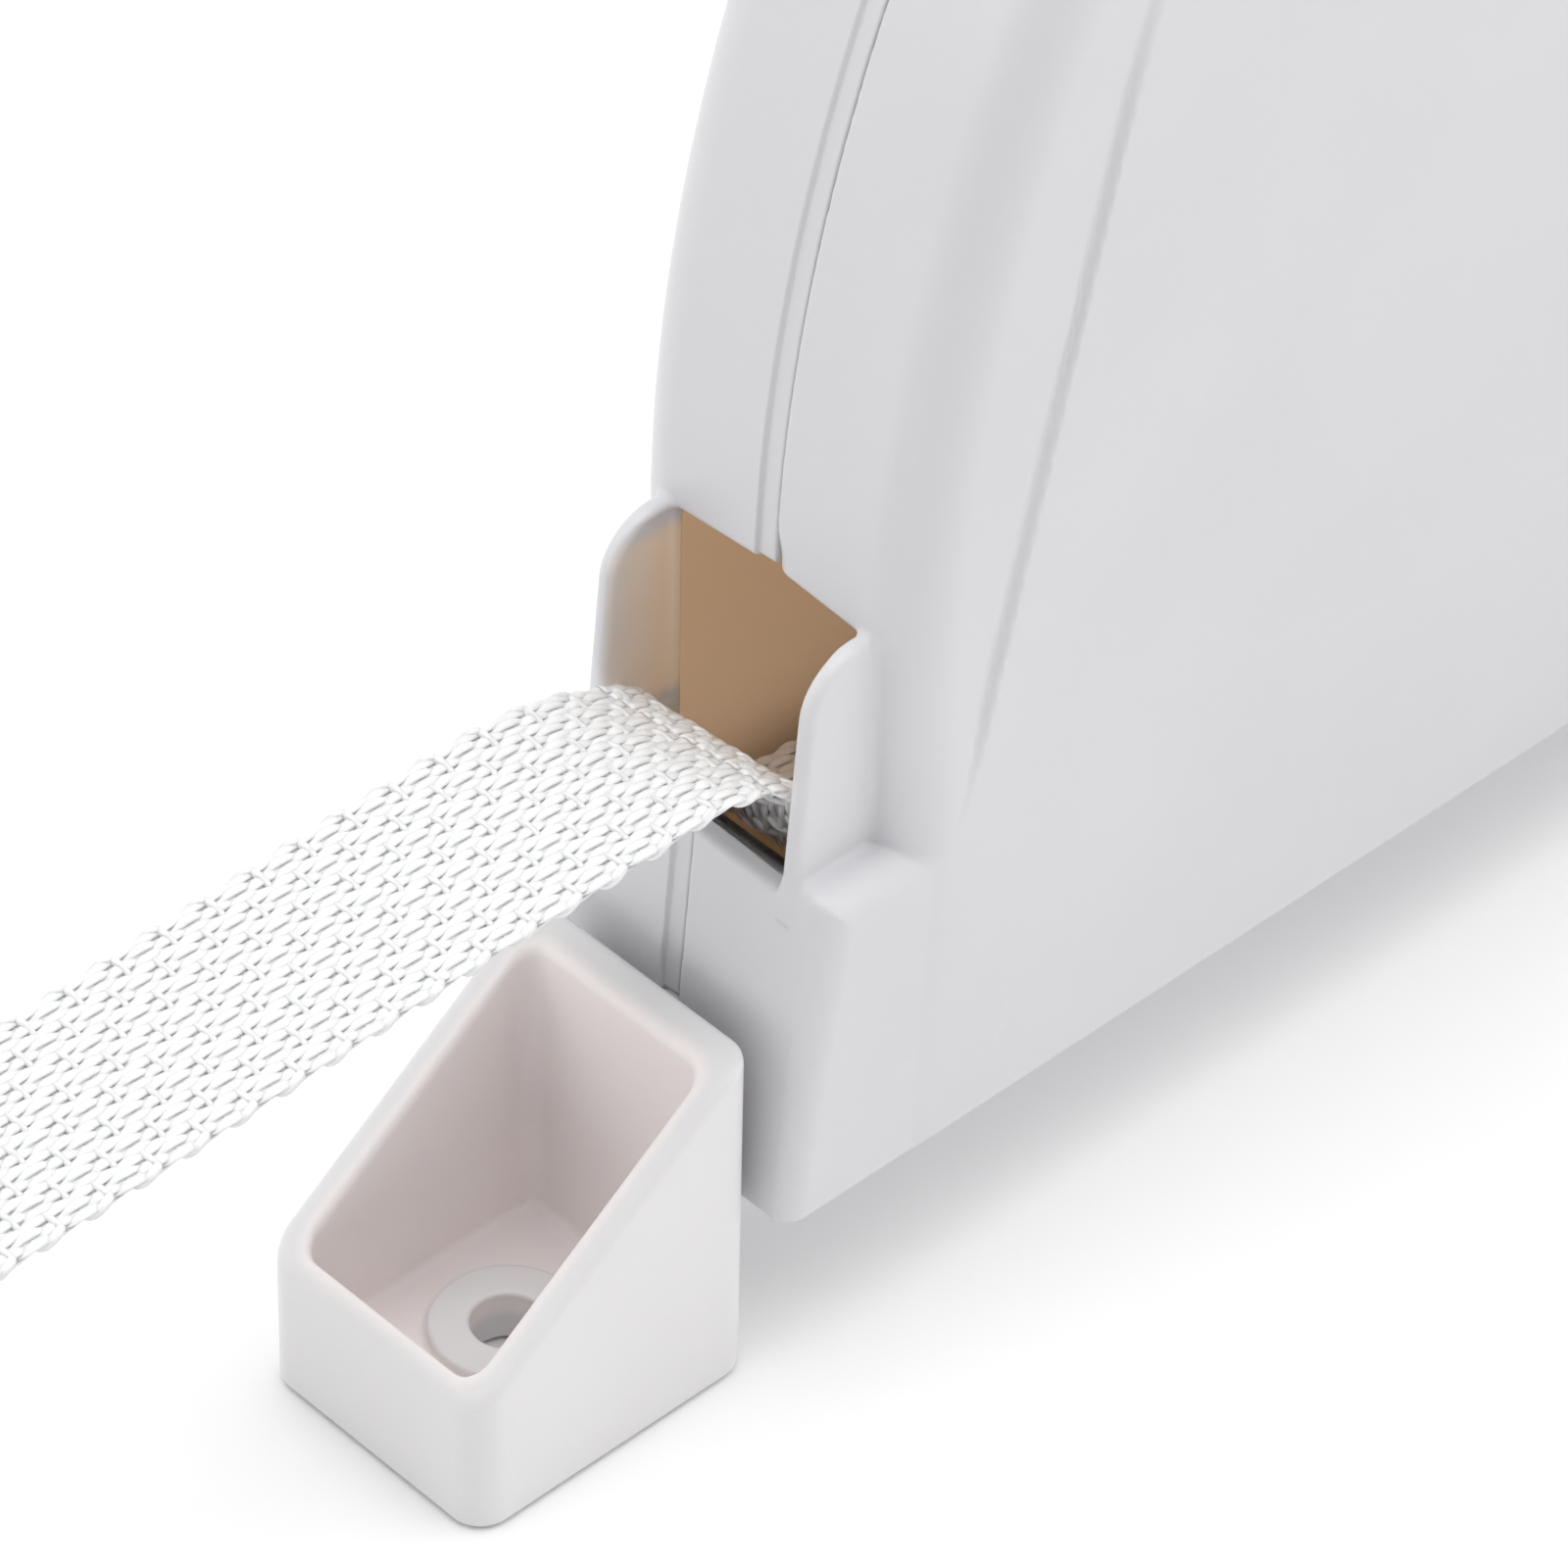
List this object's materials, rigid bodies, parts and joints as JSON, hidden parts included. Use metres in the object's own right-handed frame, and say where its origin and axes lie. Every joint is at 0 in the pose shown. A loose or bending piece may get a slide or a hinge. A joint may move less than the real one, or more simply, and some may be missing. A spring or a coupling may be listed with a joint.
{
  "type": "retractable clothesline",
  "caption": "Spring reel in a split plastic housing that swivels between two screw feet, with a flat webbing line, a guide pin and an end ring.",
  "frame": {"origin": "on the wall plane, midway between the two feet", "axes": "+X across the housing, -Y towards the line's exit, +Z away from the wall"},
  "size_m": [0.0328, 0.3152, 0.1574],
  "materials": {
    "housing_plastic": "moulded, fine satin texture, white",
    "reel_plastic": "moulded, grey",
    "nylon": "natural nylon",
    "steel": "zinc plated",
    "polished_steel": "polished",
    "spring_steel": "blued strip",
    "webbing": "coarse plain weave, glossy white polyester"
  },
  "bodies": {
    "mount": {"front_foot": "housing_plastic", "rear_foot": "housing_plastic"},
    "housing": {"left_shell": "housing_plastic", "right_shell": "housing_plastic", "axle": "steel", "mainspring": "spring_steel", "line_inner_run": "webbing", "washer_left": "steel", "washer_right": "steel", "case_screw_1": "steel", "case_screw_2": "steel", "case_screw_3": "steel", "case_screw_4": "steel", "case_screw_5": "steel"},
    "drum": {"drum": "reel_plastic", "drum_cover": "reel_plastic", "cover_screw_1": "steel", "cover_screw_2": "steel", "cover_screw_3": "steel", "spring_rivet": "steel", "line_anchor_pin": "steel", "bush_left": "nylon", "bush_right": "nylon", "line_roll": "webbing"},
    "guide_pin": {"guide_pin": "polished_steel"},
    "line": {"line_free": "webbing"},
    "ring": {"end_ring": "polished_steel"}
  },
  "joints": [
    {"name": "swivel", "type": "hinge", "parent": "mount", "child": "housing", "pos_m": [0, 0, 0.025], "axis": [0, 1, 0], "range_deg": [-90, 90]},
    {"name": "drum_spin", "type": "hinge", "parent": "housing", "child": "drum", "pos_m": [0, 0, 0.09243], "axis": [-1, 0, 0], "range_deg": [0, 36], "stiffness_Nm_per_rad": 0.05},
    {"name": "line_pull", "type": "slide", "parent": "housing", "child": "line", "axis": [0, -1, 0], "range_m": [0, 0.0315]},
    {"name": "guide_pin_spin", "type": "hinge", "parent": "housing", "child": "guide_pin", "pos_m": [0, -0.0743, 0.0412], "axis": [1, 0, 0], "continuous": true},
    {"name": "ring_swing", "type": "hinge", "parent": "line", "child": "ring", "pos_m": [0, -0.2002, 0.0532], "axis": [1, 0, 0], "range_deg": [-150, 60]}
  ],
  "couplings": [
    {"joint": "line_pull", "follows": "drum_spin", "m_per_rad": 0.04925}
  ]
}
